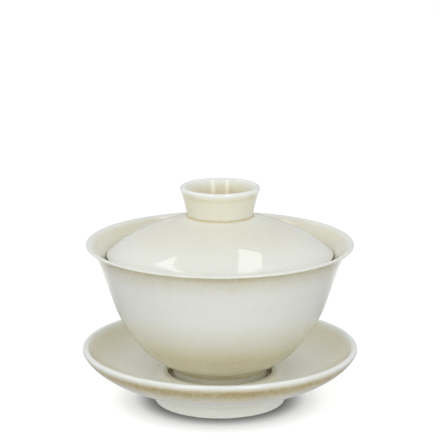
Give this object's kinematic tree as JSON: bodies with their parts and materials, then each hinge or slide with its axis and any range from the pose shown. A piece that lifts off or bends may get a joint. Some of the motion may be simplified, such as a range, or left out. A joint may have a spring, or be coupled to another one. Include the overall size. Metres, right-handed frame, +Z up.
{
  "type": "gaiwan",
  "caption": "Lidded porcelain tea bowl on a saucer: a flared bowl stands in the saucer's well, and a domed lid with a hollow ring knob rests inside its rim.",
  "frame": {"origin": "on the table, under the middle of the saucer's foot ring", "axes": "+Z is up, along the axis that the saucer, bowl and lid share; they are round, so +X and +Y are any two level directions"},
  "size_m": [0.1012, 0.1012, 0.0808],
  "materials": {
    "saucer_glaze": "gloss cream celadon glaze, white on the lip, olive where it pools",
    "bowl_glaze": "gloss cream celadon glaze, white on the lip, olive where it pools",
    "lid_glaze": "gloss cream celadon glaze, white on the lip, olive where it pools"
  },
  "bodies": {
    "saucer": {"saucer": "saucer_glaze"},
    "bowl": {"bowl": "bowl_glaze"},
    "lid": {"lid": "lid_glaze"}
  },
  "joints": [
    {"name": "bowl_lift", "type": "slide", "parent": "saucer", "child": "bowl", "axis": [0, 0, 1], "range_m": [0, 0.06]},
    {"name": "lid_lift", "type": "slide", "parent": "bowl", "child": "lid", "axis": [0, 0, 1], "range_m": [0, 0.06]}
  ]
}
